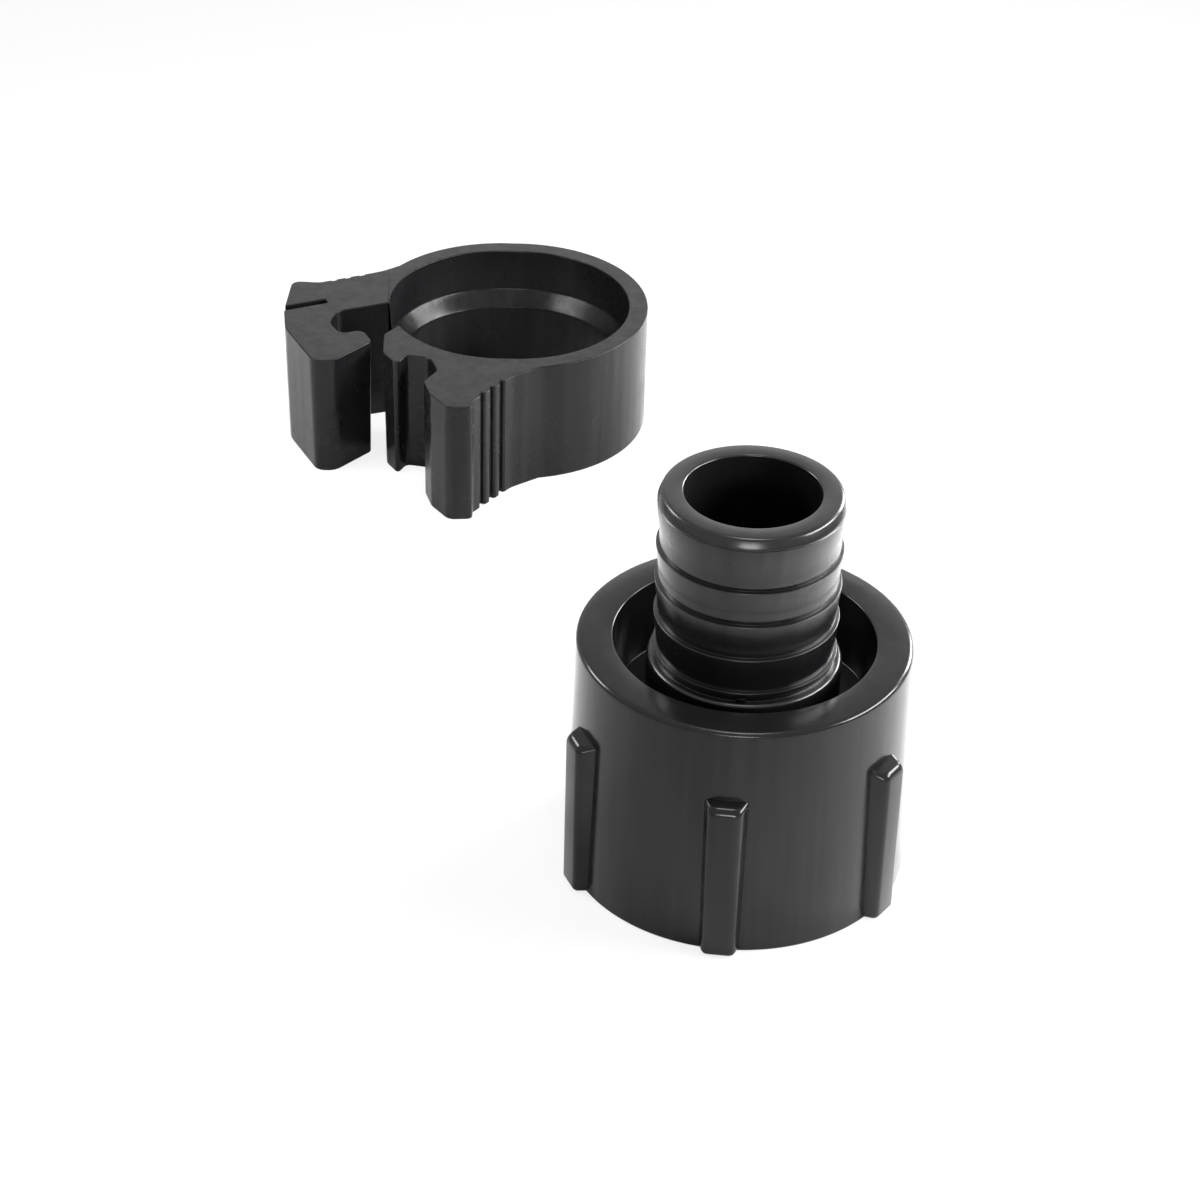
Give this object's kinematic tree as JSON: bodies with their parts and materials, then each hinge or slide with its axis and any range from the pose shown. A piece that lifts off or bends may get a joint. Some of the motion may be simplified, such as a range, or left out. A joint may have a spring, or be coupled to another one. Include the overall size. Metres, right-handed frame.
{
  "type": "pex swivel adapter",
  "caption": "Barbed tube insert turning in a ribbed nut with a female pipe thread, with the open snap clamp ring that grips the tube.",
  "frame": {"origin": "on the swivel axis at the nut's mouth, which the adapter stands on", "axes": "+Z along the swivel axis from the nut's mouth towards the barbs, +Y away from the picture's camera, +X to its right"},
  "size_m": [0.0678, 0.116, 0.0405],
  "materials": {
    "nut_plastic": "semi-gloss moulded",
    "insert_plastic": "semi-gloss moulded",
    "washer_rubber": "matt",
    "clamp_plastic": "satin moulded"
  },
  "bodies": {
    "nut": {"swivel_nut": "nut_plastic", "clamp_ring": "clamp_plastic"},
    "insert": {"barbed_insert": "insert_plastic", "sealing_washer": "washer_rubber"}
  },
  "joints": [
    {"name": "nut_swivel", "type": "hinge", "parent": "nut", "child": "insert", "pos_m": [0, 0, 0.01385], "axis": [0, 0, 1], "continuous": true}
  ]
}
